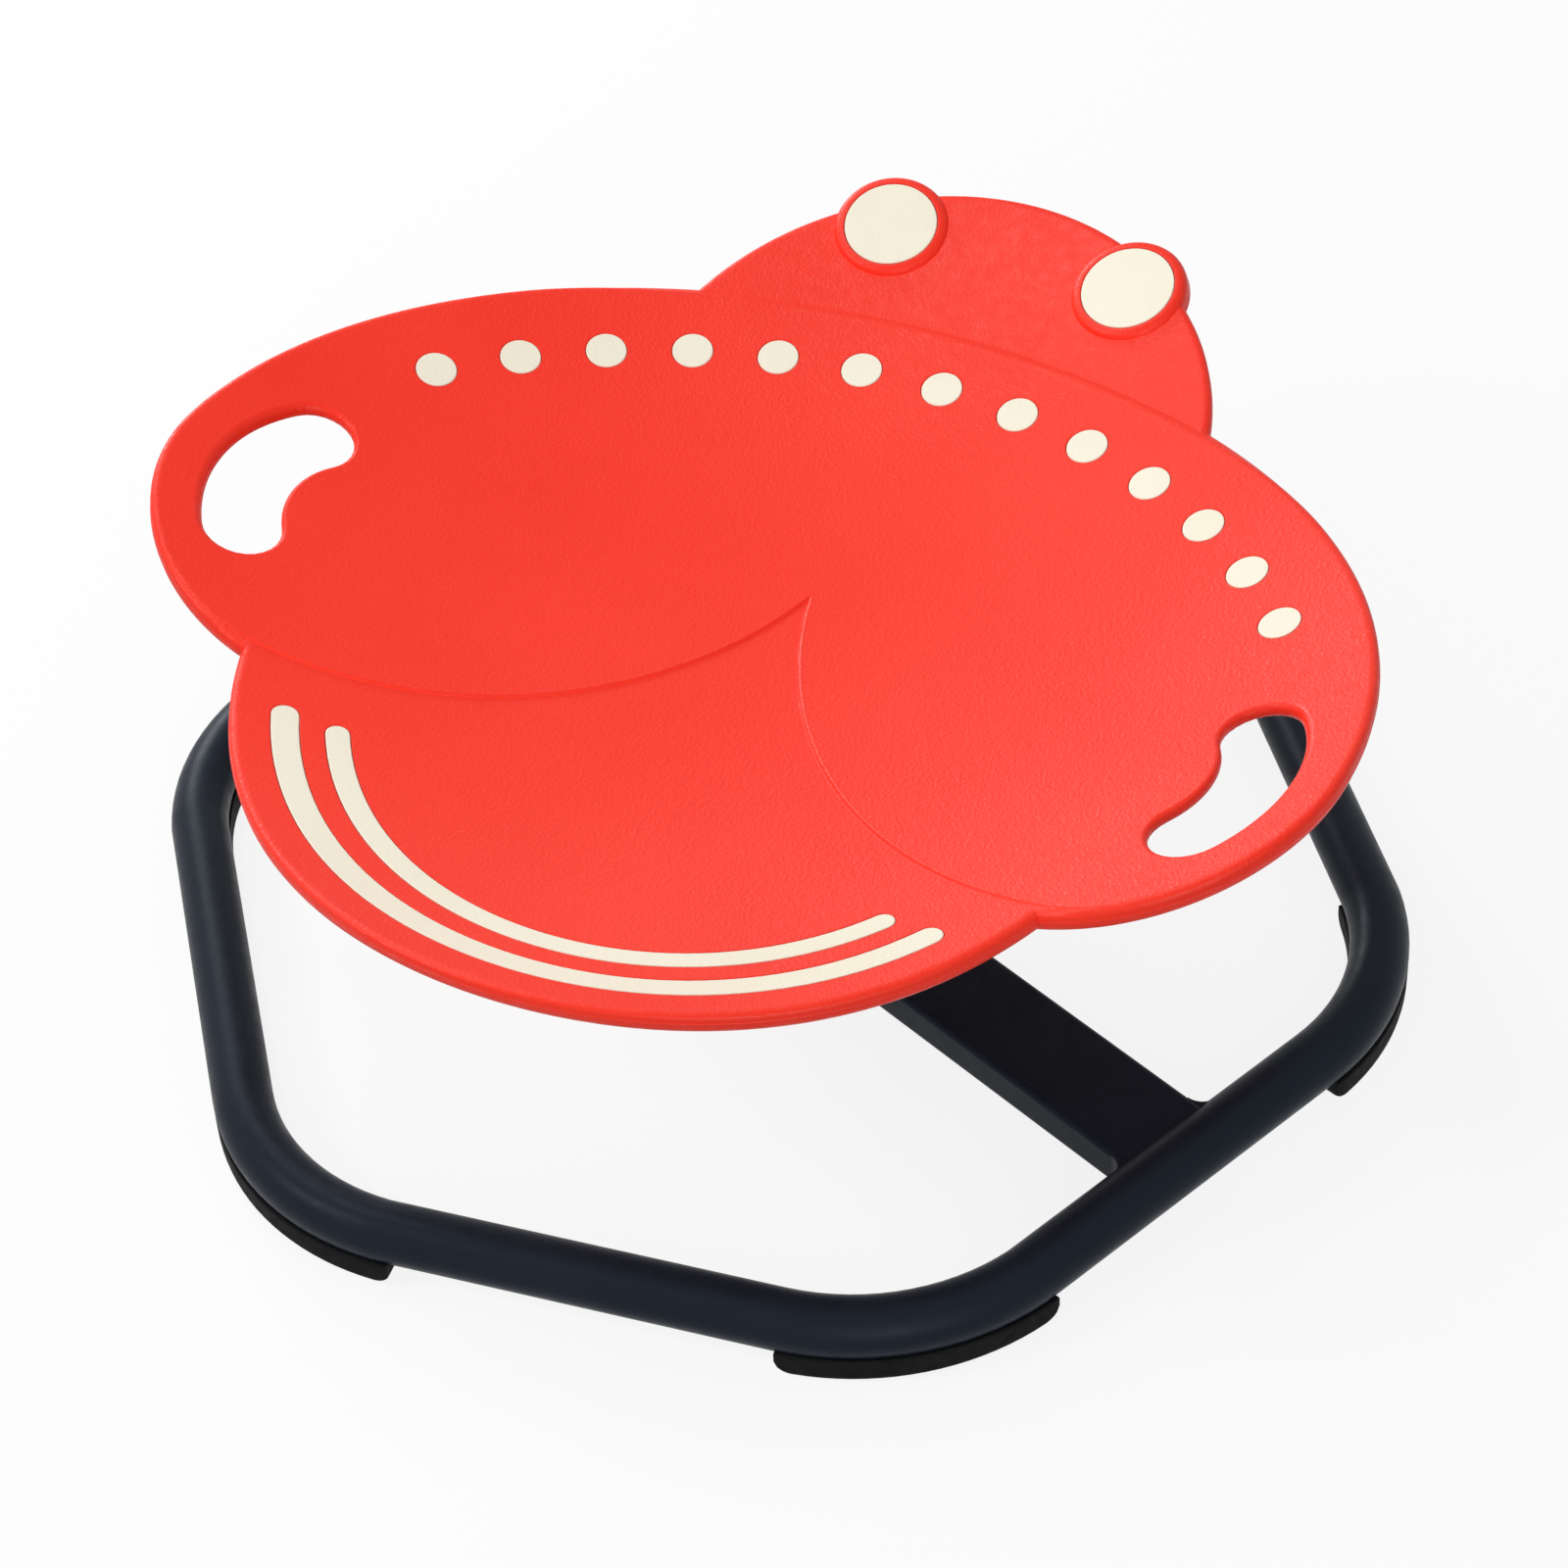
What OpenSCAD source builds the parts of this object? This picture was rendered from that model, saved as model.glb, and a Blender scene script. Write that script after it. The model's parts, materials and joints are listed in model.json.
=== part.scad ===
// Toddler spinning seat: a dished, beetle-shaped moulded seat that turns on a six-sided tube base.
// Lengths are in millimetres. The origin is on the floor under the spin axis, +Y points to the head.

/* [Base ring] */
// Outer diameter of the bent tube
tube_d = 28; // [25:0.5:32]
// Wall of the bent tube
tube_wall = 1.5; // [1.2:0.1:2]
// Side of the six-sided ring, on the tube's centre line
ring_side = 312; // [300:1:330]
// Bend radius of the tube's centre line at each corner
bend_r = 116; // [105:1:130]
// Turn of the base under the seat, as the seat stands
base_turn = -19.6; // [-60:0.1:60]

/* [Cross bar] */
// Width of the flat bar
bar_w = 50; // [46:0.5:56]
// Height of the flat bar
bar_h = 20; // [18:0.5:22]
// Wall of the flat bar
bar_wall = 1.5; // [1.2:0.1:2]
// Outer corner radius of the bar's section
bar_corner_r = 3; // [2:0.25:4]
// Hole through the bar under the spindle
access_d = 33; // [32.5:0.25:36]

/* [Feet] */
// Height of the tube above the floor
foot_drop = 6.5; // [6:0.25:9]
// Width of a rubber foot pad
pad_w = 28; // [27:0.25:31]
// Angle that a pad covers, seen from the bend's centre
pad_angle = 59; // [50:1:60]
// How far a pad's lips stop below the tube's centre
pad_lip_drop = 7; // [5:0.25:8]
// Rounding of a pad's lower edges
pad_edge_r = 3.5; // [2:0.25:4]
// Half angle between the two screws of a pad, seen from the bend's centre
pad_screw_angle = 18; // [12:1:24]

/* [Bearing post] */
// Outer diameter of the bearing housing
housing_d = 38; // [37:0.25:40]
// Height of the bearing housing above the bar
housing_h = 76; // [70:0.5:80]
// Bore of the bearing housing between its shoulders
housing_bore_d = 27; // [26:0.25:28]
// Outer diameter of each ball bearing
bearing_d = 32; // [31:0.25:33]
// Bore of each ball bearing, and the spindle's diameter
spindle_d = 15; // [14:0.25:16]
// Width of each ball bearing
bearing_w = 9; // [8:0.25:10]
// Diameter of a bearing ball
ball_d = 4.8; // [4.4:0.1:5]
// Number of balls in a bearing
ball_count = 9; // [6:1:11]
// Height of the lower bearing's face above the bottom of the housing
lower_bearing_lift = 15; // [14.5:0.25:18]
// Depth of the upper bearing's face below the top of the housing
upper_bearing_sink = 2; // [1:0.25:4]

/* [Seat plate] */
// Diameter of the steel plate under the seat
plate_d = 150; // [140:1:156]
// Thickness of the steel plate
plate_t = 4; // [3:0.25:5]
// Circle that the plate's screws stand on
plate_pcd = 110; // [96:1:118]
// Number of screws through the plate
plate_screw_count = 4; // [3:1:8]
// Thread diameter of the plate's screws
plate_screw_d = 8; // [6:0.5:9]
// Gap between the housing's top and the underside of the plate
plate_gap = 15; // [12:0.5:20]

/* [Seat dish] */
// Height of the dish's lowest point above the floor
seat_h = 151.5; // [148:0.5:162]
// Thickness of the double-walled seat
seat_t = 12; // [11:0.25:14]
// Rounding of the seat's rim, above and below
rim_r = 4.5; // [3:0.25:5.25]
// Rise of the dish from its lowest point to the wing tips
wing_rise = 65; // [50:0.5:75]
// Rise of the dish from its lowest point to the top of the head
head_rise = 69; // [55:0.5:80]
// Rise of the dish from its lowest point to the end of the body
tail_rise = 39; // [30:0.5:50]
// Diameter of the moulded boss under the seat
boss_d = 160; // [157:0.5:176]

/* [Seat outline] */
// Half width of the seat at the wing tips
wing_half_w = 295.5; // [285:0.5:305]
// Height of the wings' upper curve above the tips
wing_top_h = 247.5; // [240:0.5:256]
// Distance of the wing tips behind the spin axis
wing_back = 25.3; // [20:0.1:30]
// Radius of the round lobe at each wing tip
lobe_r = 101; // [97:0.5:106]
// Radius of the round head
head_r = 145; // [138:0.5:150]
// Distance of the head's centre in front of the spin axis
head_y = 151; // [145:0.5:156]
// Radius of the round body
body_r = 213.8; // [205:0.2:222]
// Distance of the body's centre behind the spin axis
body_back = 53; // [46:0.5:60]

/* [Grip slots] */
// Width of a grip slot
slot_w = 36; // [28:0.5:38]
// Radius of a slot's middle line about the lobe's centre
slot_r = 60; // [56:0.5:62]
// Angle of the slot's front end about the lobe's centre
slot_front_angle = 32; // [20:1:34]
// Angle of the slot's rear end about the lobe's centre
slot_rear_angle = 38; // [30:1:44]
// Thickness of the seat at a slot's edge, where its two walls are pinched together
slot_edge_t = 7; // [6:0.25:9]
// Width of the pinched land around a slot, on the underside
slot_land_w = 9; // [6:0.5:10]
// Angle by which the pinched land runs on past each end of the slot
slot_land_lead = 1.3; // [1:0.1:2]

/* [Inlays] */
// Depth of every inlay
inlay_depth = 4; // [3:0.25:5]
// Gap around every inlay
inlay_gap = 0.3; // [0.2:0.05:0.5]
// Radius of a dot inlay's pocket
dot_r = 10.4; // [8:0.1:12]
// Number of dots along the wings' upper edge
dot_count = 13; // [7:2:15]
// Radius of the arc that the dots lie on
dot_arc_r = 285; // [275:1:295]
// Distance of that arc's centre behind the spin axis
dot_arc_back = 98.5; // [92:0.5:104]
// Angle from dot to dot
dot_pitch = 8.55; // [7:0.05:8.6]
// Radius of an eye knob
knob_r = 29; // [26:0.5:31]
// Height of an eye knob over the seat around it
knob_lift = 3; // [2:0.25:4]
// Distance of an eye knob's centre inside the head's edge
knob_inset = 16.8; // [13:0.2:22]
// Angle of an eye knob from the middle line, seen from the head's centre
knob_angle = 30.5; // [27:0.5:34]
// Radius of an eye inlay's pocket
eye_r = 23.6; // [20:0.2:24.5]
// Radius of the outer stripe's middle line about the body's centre
outer_stripe_r = 189; // [184:0.5:194]
// Width of the outer stripe
outer_stripe_w = 13; // [10:0.25:14]
// Half angle of the outer stripe
outer_stripe_angle = 59; // [50:0.5:62]
// Radius of the inner stripe's middle line about the body's centre
inner_stripe_r = 166; // [160:0.5:170]
// Width of the inner stripe
inner_stripe_w = 11.5; // [9:0.25:13]
// Half angle of the inner stripe
inner_stripe_angle = 56; // [48:0.5:60]

/* [Hidden] */
$fn = 96;
seat_red = [0.97, 0.25, 0.2];
cream = [0.96, 0.94, 0.86];
frame_black = [0.14, 0.16, 0.2];
rubber_black = [0.1, 0.1, 0.11];
steel_grey = [0.72, 0.73, 0.75];
brass_yellow = [0.8, 0.66, 0.36];

// Overrun of every cut past the face that it opens
over = 1;
// Gap between a turned part and the part that it is pushed on or into
fit_gap = 0.03;
// Gap between pieces that are welded or clipped together
joint_gap = 0.15;
// Glue under a stripe inlay
glue_t = 0.08;
// Gap between the turning seal and the housing
seal_gap = 0.3;

// Base ring
corner_count = 6;
corner_turn = 360 / corner_count;
tube_r = tube_d / 2;
tube_z = foot_drop + tube_r;
ring_apothem = ring_side * cos(corner_turn / 2);
bend_mid = ring_side - bend_r / cos(corner_turn / 2);
bend_step_count = 10;
tube_side_count = 24;
bore_side_count = 12;

// Cross bar and its weld fillets
bar_z = tube_z - bar_h / 2;
bar_top = bar_z + bar_h;
bar_weld_leg = 10;
bar_weld_h = 14;

// Foot pads and their screws
pad_top = tube_z - pad_lip_drop;
pad_end_r = 7;
pad_screw_d = 4;
pad_screw_head_d = 8;
pad_screw_head_h = 2.5;
pad_screw_sink = 2;
pad_screw_l = 12;

// Bearing housing
housing_top = bar_top + housing_h;
housing_weld = 3;
lower_z = bar_top + lower_bearing_lift;
upper_z = housing_top - upper_bearing_sink - bearing_w;
race_wall = 2.25;
groove_gap = 0.05;
cage_t = 1;
cage_w = 6.4;
cage_gap = 0.15;
ball_pitch_r = (bearing_d + spindle_d) / 4;

// Spindle and what is on it
shoulder_d = 20;
spindle_end_drop = 16;
clamp_gap = 0.5;
thread_d = 14;
washer_d = 26;
washer_t = 2.5;
nut_flats = 21;
nut_h = 11;
spacer_wall = 2.5;
seal_d = 34;
seal_h = 9;
seal_lip_t = 2;
plate_weld = 4;
plug_flange_d = 40;
plug_flange_t = 2.5;
plug_depth = 9;
plug_wall = 2;

// Seat plate, its screws and the inserts that take them
plate_z = housing_top + plate_gap;
boss_z = plate_z + plate_t;
plate_screw_clear = 0.5;
plate_screw_l = 20;
plate_screw_head_h = 5.3;
plate_screw_flats_share = 1.6;
plate_washer_d = 16;
plate_washer_t = 1.6;
insert_wall = 1.75;
insert_h = 16;

// Seat: reaches of the dish, shares of its shape and counts of its facets
head_reach = head_y + head_r;
tail_reach = body_back + body_r;
tail_flat_share = 0.73;
boss_cover = 3;
rim_step_count = 4;
head_facet_count = 14;
wing_facet_count = 24;
lobe_facet_count = 16;
body_facet_count = 30;
ring_shares = [0.22, 0.4, 0.56, 0.7, 0.82, 0.92];
ring_thinnings = [4, 4, 2, 2, 2, 1];
slot_centre = [wing_half_w - lobe_r, -wing_back];
knob_reach = head_r - knob_inset;
knob_x = knob_reach * sin(knob_angle);
knob_y = head_y + knob_reach * cos(knob_angle);
band_step_angle = 3;
cap_angles = [75, 50, 25];
search_count = 24;

// The dish: height of the seat's upper face, and its slopes along X and Y
function tail_curve(t) = (1 - tail_flat_share) * pow(t, 2) + tail_flat_share * pow(t, 4);
function tail_slope(t) = 2 * (1 - tail_flat_share) * t + 4 * tail_flat_share * pow(t, 3);
function long_rise(y) = y > 0 ? head_rise * pow(y / head_reach, 2)
    : tail_rise * tail_curve(y / tail_reach);
function long_slope(y) = y > 0 ? 2 * head_rise * y / pow(head_reach, 2)
    : tail_rise * tail_slope(y / tail_reach) / tail_reach;
function cross_slope(x) = 2 * wing_rise * x / pow(wing_half_w, 2);
function dish(x, y) = seat_h + wing_rise * pow(x / wing_half_w, 2) + long_rise(y);

// The outline: distance from the spin axis to the rim in direction t, turned clockwise from the head
function ray_circle(t, c, r) =
    let (d = [sin(t), cos(t)], b = d * c, q = b * b - c * c + r * r)
    q > 0 ? b + sqrt(q) : 0;
function ray_wing_top(t) =
    let (a = pow(sin(t) / wing_half_w, 2) + pow(cos(t) / wing_top_h, 2),
         b = cos(t) * wing_back / pow(wing_top_h, 2),
         c = pow(wing_back / wing_top_h, 2) - 1)
    (-b + sqrt(b * b - a * c)) / a;
function ray_head(t) = ray_circle(t, [0, head_y], head_r);
function ray_body(t) = ray_circle(t, [0, -body_back], body_r);
function ray_wing(t) =
    let (top = ray_wing_top(t))
    top * cos(t) >= -wing_back ? top : ray_circle(t, slot_centre, lobe_r);
function ray_rim(t) = max(ray_head(t), ray_wing(t), ray_body(t));

// The notches: where the wing's edge leaves the head and meets the body
function head_notch(lo, hi, n) =
    let (m = (lo + hi) / 2)
    n == 0 ? m : ray_head(m) > ray_wing(m) ? head_notch(m, hi, n - 1) : head_notch(lo, m, n - 1);
function body_notch(lo, hi, n) =
    let (m = (lo + hi) / 2)
    n == 0 ? m : ray_wing(m) > ray_body(m) ? body_notch(m, hi, n - 1) : body_notch(lo, m, n - 1);
notch_front = head_notch(0, 90, search_count);
notch_rear = body_notch(90, 180, search_count);
tip_angle = 90 + atan(wing_back / wing_half_w);

function steps(from, to, n) = [for (i = [0 : n - 1]) from + (to - from) * i / n];
half_turns = concat(
    steps(0, notch_front, head_facet_count), steps(notch_front, tip_angle, wing_facet_count),
    steps(tip_angle, notch_rear, lobe_facet_count), steps(notch_rear, 180, body_facet_count));
half_n = len(half_turns);
turns = concat(half_turns, [180], [for (i = [half_n - 1 : -1 : 1]) -half_turns[i]]);
rim_n = len(turns);
rim_points = [for (t = turns) ray_rim(abs(t)) * [sin(t), cos(t)]];
rim_tangents = [for (i = [0 : rim_n - 1])
    rim_points[(i + 1) % rim_n] - rim_points[(i + rim_n - 1) % rim_n]];
rim_normals = [for (v = rim_tangents) [-v[1], v[0]] / norm(v)];

// One closed loop of the seat's skin: the rim drawn in by inset, scaled by share, drop below the dish
function rim_loop(inset, drop) = [for (i = [0 : rim_n - 1])
    let (p = rim_points[i] - rim_normals[i] * inset)
    [p[0], p[1], dish(p[0], p[1]) - drop]];
function face_loop(share, thinning, drop) = [for (i = [0 : thinning : rim_n - 1])
    let (p = (rim_points[i] - rim_normals[i] * rim_r) * share)
    [p[0], p[1], dish(p[0], p[1]) - drop]];
function round_loops(from, to, drop_side) = [for (k = [0 : rim_step_count])
    let (a = from + (to - from) * k / rim_step_count, fall = rim_r * (1 - cos(a)))
    rim_loop(rim_r * (1 - sin(a)), drop_side == 0 ? fall : drop_side - fall)];

// Faces between two loops, the second one further out or lower, where one may have half the points
function band(a, na, b, nb) =
    na == nb ? [for (i = [0 : na - 1]) let (j = (i + 1) % na)
        each [[b + i, b + j, a + j], [b + i, a + j, a + i]]]
    : na < nb ? [for (i = [0 : na - 1]) let (j = (i + 1) % na, m = 2 * i, k = (m + 2) % nb)
        each [[b + m, b + m + 1, a + i], [b + m + 1, a + j, a + i], [b + m + 1, b + k, a + j]]]
    : [for (i = [0 : nb - 1]) let (j = (i + 1) % nb, m = 2 * i, k = (m + 2) % na)
        each [[a + m + 1, a + m, b + i], [a + m + 1, b + i, b + j], [a + k, a + m + 1, b + j]]];

// Stand a child on the dish with its Z along the dish's normal
module on_dish(x, y) {
    slope = [cross_slope(x), long_slope(y)];
    translate([x, y, dish(x, y)])
        rotate(a = atan(norm(slope)), v = [slope[1], -slope[0], 0])
            children();
}

// The seat's skin, from the middle of its upper face, around the rim, to the middle of its underside
module seat_skin() {
    rings = len(ring_shares);
    upper = [for (k = [0 : rings - 1]) face_loop(ring_shares[k], ring_thinnings[k], 0)];
    lower = [for (k = [rings - 1 : -1 : 0]) face_loop(ring_shares[k], ring_thinnings[k], seat_t)];
    loops = concat(upper, round_loops(0, 90, 0), round_loops(90, 0, seat_t), lower);
    sizes = [for (l = loops) len(l)];
    starts = [for (k = 0, s = 0; k < len(sizes); s = s + sizes[k], k = k + 1) s];
    last = len(loops) - 1;
    top_mid = starts[last] + sizes[last];
    points = concat([for (l = loops) each l], [[0, 0, dish(0, 0)], [0, 0, dish(0, 0) - seat_t]]);
    bands = [for (k = [0 : last - 1]) each band(starts[k], sizes[k], starts[k + 1], sizes[k + 1])];
    top_fan = [for (i = [0 : sizes[0] - 1]) [i, (i + 1) % sizes[0], top_mid]];
    low_fan = [for (i = [0 : sizes[last] - 1])
        [starts[last] + (i + 1) % sizes[last], starts[last] + i, top_mid + 1]];
    polyhedron(points, concat(bands, top_fan, low_fan));
}

// Rounded disc around the Z axis, from z to z + h
module rounded_disc(r, edge, z, h) {
    rotate_extrude() {
        translate([0, z]) square([r - edge, h]);
        translate([0, z + edge]) square([r, h - 2 * edge]);
        for (e = [z + edge, z + h - edge]) translate([r - edge, e]) circle(edge);
    }
}

// Ring of rectangular section around the Z axis
module turned_ring(r_in, r_out, z, h) {
    rotate_extrude() translate([r_in, z]) square([r_out - r_in, h]);
}

module around(n, r) {
    for (i = [0 : n - 1]) rotate(i * 360 / n) translate([r, 0, 0]) children();
}

module hexagon_bar(flats, h) {
    cylinder(h = h, r = flats / 2 / cos(30), $fn = 6);
}

// Places of the inlays
dot_side_count = (dot_count - 1) / 2;
dot_places = [for (i = [-dot_side_count : dot_side_count])
    let (a = i * dot_pitch) [dot_arc_r * sin(a), dot_arc_r * cos(a) - dot_arc_back]];

module dot_discs(r, h) {
    for (p = dot_places) on_dish(p[0], p[1]) translate([0, 0, -inlay_depth]) cylinder(h = h, r = r);
}

module eye_disc(side, r, h) {
    on_dish(side * knob_x, knob_y) translate([0, 0, knob_lift - inlay_depth]) cylinder(h = h, r = r);
}

module eye_knob(side) {
    on_dish(side * knob_x, knob_y) rounded_disc(knob_r, rim_r, -seat_t, seat_t + knob_lift);
}

// Curved band that follows the dish around mid, with round ends, between two heights off the dish
module dish_band(mid, r, w, from, to, high, low) {
    half_w = w / 2;
    span_n = ceil((to - from) / band_step_angle);
    run = [for (i = [0 : span_n]) [from + (to - from) * i / span_n, half_w]];
    cap = [for (c = cap_angles) [atan(half_w * sin(c) / r), half_w * cos(c)]];
    last_cap = len(cap) - 1;
    stations = concat([for (c = cap) [from - c[0], c[1]]], run,
        [for (i = [last_cap : -1 : 0]) [to + cap[i][0], cap[i][1]]]);
    n = len(stations);
    points = [for (s = stations) each [for (e = [[-1, high], [1, high], [1, low], [-1, low]])
        let (q = r + e[0] * s[1], x = mid[0] + q * cos(s[0]), y = mid[1] + q * sin(s[0]))
        [x, y, dish(x, y) + e[1]]]];
    sides = [for (i = [0 : n - 2]) each [for (k = [0 : 3])
        let (a = 4 * i + k, b = 4 * i + (k + 1) % 4)
        each [[a, b, b + 4], [a, b + 4, a + 4]]]];
    far = 4 * (n - 1);
    ends = [[0, 2, 1], [0, 3, 2], [far, far + 1, far + 2], [far, far + 2, far + 3]];
    polyhedron(points, [for (f = concat(sides, ends)) [f[2], f[1], f[0]]]);
}

module stripe_band(r, w, half_angle, high, low) {
    dish_band([0, -body_back], r, w, -90 - half_angle, -90 + half_angle, high, low);
}

module grip_slot(side) {
    mid = [side * slot_centre[0], slot_centre[1]];
    low = seat_h - seat_t - over;
    tall = wing_rise + seat_t + 2 * over;
    translate([mid[0], mid[1], low]) mirror([side < 0 ? 1 : 0, 0, 0]) {
        rotate(-slot_rear_angle)
            rotate_extrude(angle = slot_front_angle + slot_rear_angle)
                translate([slot_r - slot_w / 2, 0]) square([slot_w, tall]);
        for (a = [slot_front_angle, -slot_rear_angle])
            rotate(a) translate([slot_r, 0, 0]) cylinder(h = tall, r = slot_w / 2);
    }
}

// What the pinched land around a grip slot takes off the underside
module slot_land(side) {
    from = (side > 0 ? -slot_rear_angle : 180 - slot_front_angle) - slot_land_lead;
    to = from + slot_front_angle + slot_rear_angle + 2 * slot_land_lead;
    dish_band([side * slot_centre[0], slot_centre[1]], slot_r, slot_w + 2 * slot_land_w,
        from, to, -slot_edge_t, -seat_t - over);
}

module seat_shell() {
    color(seat_red) difference() {
        union() {
            seat_skin();
            for (s = [-1, 1]) eye_knob(s);
            translate([0, 0, boss_z]) cylinder(h = seat_h - boss_cover - boss_z, d = boss_d);
        }
        for (s = [-1, 1]) {
            grip_slot(s);
            slot_land(s);
            eye_disc(s, eye_r, inlay_depth + over);
        }
        dot_discs(dot_r, inlay_depth + over);
        stripe_band(outer_stripe_r, outer_stripe_w, outer_stripe_angle, over, -inlay_depth);
        stripe_band(inner_stripe_r, inner_stripe_w, inner_stripe_angle, over, -inlay_depth);
        around(plate_screw_count, plate_pcd / 2) translate([0, 0, boss_z - over])
            cylinder(h = insert_h + over, r = plate_screw_d / 2 + insert_wall);
    }
}

module dot_inlays() {
    color(cream) dot_discs(dot_r - inlay_gap, inlay_depth);
}

module eye_inlay(side) {
    color(cream) eye_disc(side, eye_r - inlay_gap, inlay_depth);
}

module stripe_inlay(r, w, half_angle) {
    color(cream) stripe_band(r, w - 2 * inlay_gap, half_angle, 0, glue_t - inlay_depth);
}

module threaded_inserts() {
    color(brass_yellow) around(plate_screw_count, plate_pcd / 2) translate([0, 0, boss_z])
        turned_ring(plate_screw_d / 2 + fit_gap, plate_screw_d / 2 + insert_wall - fit_gap,
            0, insert_h);
}

module seat_plate() {
    color(frame_black) translate([0, 0, plate_z]) difference() {
        cylinder(h = plate_t, d = plate_d);
        translate([0, 0, -over]) cylinder(h = plate_t + 2 * over, r = shoulder_d / 2 + joint_gap);
        around(plate_screw_count, plate_pcd / 2) translate([0, 0, -over])
            cylinder(h = plate_t + 2 * over, d = plate_screw_d + plate_screw_clear);
    }
}

module plate_washers() {
    color(steel_grey) around(plate_screw_count, plate_pcd / 2)
        turned_ring((plate_screw_d + plate_screw_clear) / 2, plate_washer_d / 2,
            plate_z - plate_washer_t, plate_washer_t);
}

module plate_screws() {
    seat_z = plate_z - plate_washer_t;
    color(steel_grey) around(plate_screw_count, plate_pcd / 2) {
        translate([0, 0, seat_z]) cylinder(h = plate_screw_l, d = plate_screw_d);
        translate([0, 0, seat_z - plate_screw_head_h])
            hexagon_bar(plate_screw_d * plate_screw_flats_share, plate_screw_head_h);
    }
}

module spindle() {
    shaft_low = lower_z + clamp_gap;
    shoulder_low = upper_z + bearing_w;
    end_z = lower_z - spindle_end_drop;
    color(steel_grey) {
        translate([0, 0, shoulder_low]) cylinder(h = boss_z - shoulder_low, d = shoulder_d);
        translate([0, 0, shaft_low]) cylinder(h = shoulder_low - shaft_low, d = spindle_d);
        translate([0, 0, end_z]) cylinder(h = shaft_low - end_z, d = thread_d);
    }
}

module spindle_weld() {
    color(frame_black) rotate_extrude()
        polygon([[shoulder_d / 2, plate_z], [shoulder_d / 2 + plate_weld, plate_z],
            [shoulder_d / 2, plate_z - plate_weld]]);
}

module dust_seal() {
    r_in = shoulder_d / 2 + fit_gap;
    r_hub = (r_in + seal_d / 2) / 2;
    low = housing_top + seal_gap;
    color(rubber_black) rotate_extrude() {
        translate([r_in, low]) square([r_hub - r_in, seal_h]);
        translate([r_in, low]) square([seal_d / 2 - r_in, seal_lip_t]);
    }
}

module race(z, r_in, r_out) {
    color(steel_grey) rotate_extrude() difference() {
        translate([r_in, z]) square([r_out - r_in, bearing_w]);
        translate([ball_pitch_r, z + bearing_w / 2]) circle(ball_d / 2 + groove_gap);
    }
}

module outer_race(z) {
    race(z, bearing_d / 2 - race_wall - fit_gap, bearing_d / 2 - fit_gap);
}

module inner_race(z) {
    race(z, spindle_d / 2 + fit_gap, spindle_d / 2 + race_wall + fit_gap);
}

module balls(z, r) {
    around(ball_count, ball_pitch_r) translate([0, 0, z + bearing_w / 2]) sphere(r);
}

module ball_set(z) {
    color(steel_grey) balls(z, ball_d / 2);
}

module ball_cage(z) {
    color(brass_yellow) difference() {
        turned_ring(ball_pitch_r - cage_t / 2, ball_pitch_r + cage_t / 2,
            z + (bearing_w - cage_w) / 2, cage_w);
        balls(z, ball_d / 2 + cage_gap);
    }
}

module spacer_sleeve() {
    color(steel_grey) turned_ring(spindle_d / 2 + fit_gap, spindle_d / 2 + spacer_wall,
        lower_z + bearing_w, upper_z - lower_z - bearing_w);
}

module spindle_washer() {
    color(steel_grey) turned_ring(thread_d / 2 + fit_gap, washer_d / 2, lower_z - washer_t, washer_t);
}

module spindle_nut() {
    color(steel_grey) translate([0, 0, lower_z - washer_t - nut_h]) difference() {
        hexagon_bar(nut_flats, nut_h);
        translate([0, 0, -over]) cylinder(h = nut_h + 2 * over, r = thread_d / 2 + fit_gap);
    }
}

// Base pieces are drawn with the bar along X and then turned under the seat
module on_base() {
    rotate(base_turn) children();
}

module at_corner(k) {
    rotate(corner_turn * (k + 0.5)) translate([bend_mid, 0, 0]) children();
}

// The bent tube: round sections carried along the ring, which stay square to its centre line
module tube_run(r, sides) {
    stations = [for (k = [0 : corner_count - 1], i = [0 : bend_step_count])
        [corner_turn * (k + 0.5), corner_turn * (i / bend_step_count - 0.5)]];
    n = len(stations);
    points = [for (s = stations, j = [0 : sides - 1])
        let (a = s[0] + s[1], reach = bend_r + r * cos(360 * j / sides))
        [bend_mid * cos(s[0]) + reach * cos(a), bend_mid * sin(s[0]) + reach * sin(a),
            tube_z + r * sin(360 * j / sides)]];
    faces = [for (i = [0 : n - 1], j = [0 : sides - 1])
        let (a = i * sides, b = (i + 1) % n * sides, m = (j + 1) % sides)
        each [[a + j, a + m, b + m], [a + j, b + m, b + j]]];
    polyhedron(points, faces);
}

module pad_screw_places(k) {
    for (s = [-1, 1]) at_corner(k) rotate(s * pad_screw_angle) translate([bend_r, 0, 0]) children();
}

module base_ring() {
    color(frame_black) on_base() difference() {
        tube_run(tube_r, tube_side_count);
        tube_run(tube_r - tube_wall, bore_side_count);
        for (k = [0 : corner_count - 1]) pad_screw_places(k)
            cylinder(h = tube_z, r = pad_screw_d / 2 + fit_gap);
    }
}

module rounded_rect(w, h, r) {
    translate([-w / 2 + r, -h / 2]) square([w - 2 * r, h]);
    translate([-w / 2, -h / 2 + r]) square([w, h - 2 * r]);
    for (x = [-1, 1], y = [-1, 1]) translate([x * (w / 2 - r), y * (h / 2 - r)]) circle(r);
}

module bar_cope(gap) {
    for (s = [-1, 1]) translate([s * ring_apothem, bar_w, tube_z])
        rotate([90, 0, 0]) cylinder(h = 2 * bar_w, r = tube_r + gap);
}

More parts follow.
